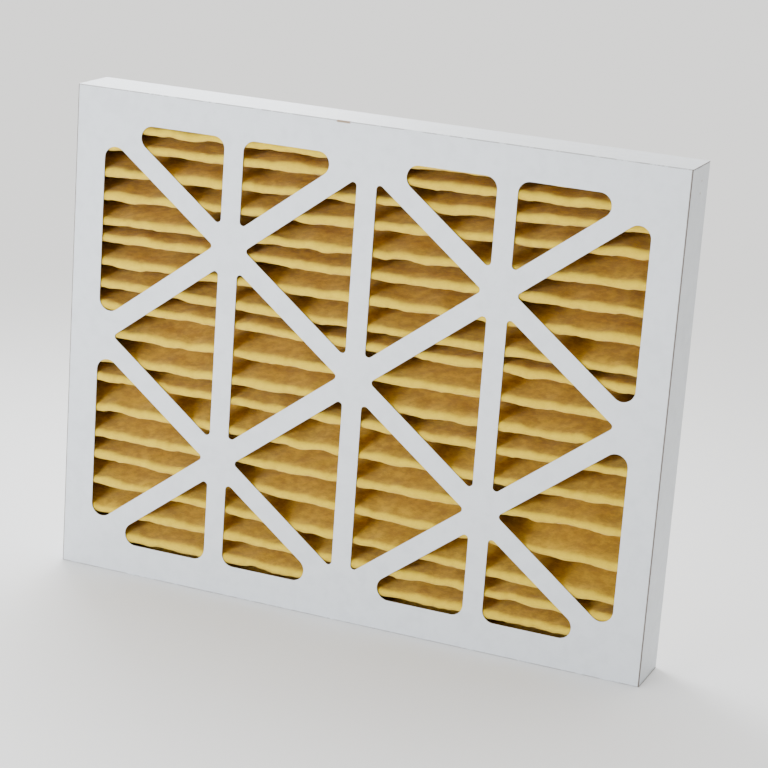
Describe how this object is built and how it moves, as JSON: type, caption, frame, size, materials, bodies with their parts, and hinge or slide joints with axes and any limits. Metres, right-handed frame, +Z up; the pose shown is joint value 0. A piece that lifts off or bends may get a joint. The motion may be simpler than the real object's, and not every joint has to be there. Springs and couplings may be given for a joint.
{
  "type": "pleated panel air filter",
  "caption": "Flat panel air filter: a pleated sheet on a welded wire support in a shallow die-cut board frame with triangular windows on both faces.",
  "frame": {"origin": "middle of the base, on which the panel stands: its long lower edge", "axes": "+X along the panel's width, +Y the way the air goes through it, from the front face to the rear face, +Z up its height"},
  "size_m": [0.495, 0.045, 0.394],
  "materials": {
    "white_board": "clay-coated board",
    "filter_sheet": "lofty fibre mat",
    "galvanized_wire": "galvanized",
    "glue": "dried adhesive"
  },
  "bodies": {
    "root": {"front_frame": "white_board", "rear_frame": "white_board", "pleated_media": "filter_sheet", "wire_support": "galvanized_wire", "front_strap_glue": "glue", "rear_strap_glue": "glue", "right_edge_seal": "glue", "left_edge_seal": "glue", "top_edge_seal": "glue", "bottom_edge_seal": "glue"}
  },
  "joints": []
}
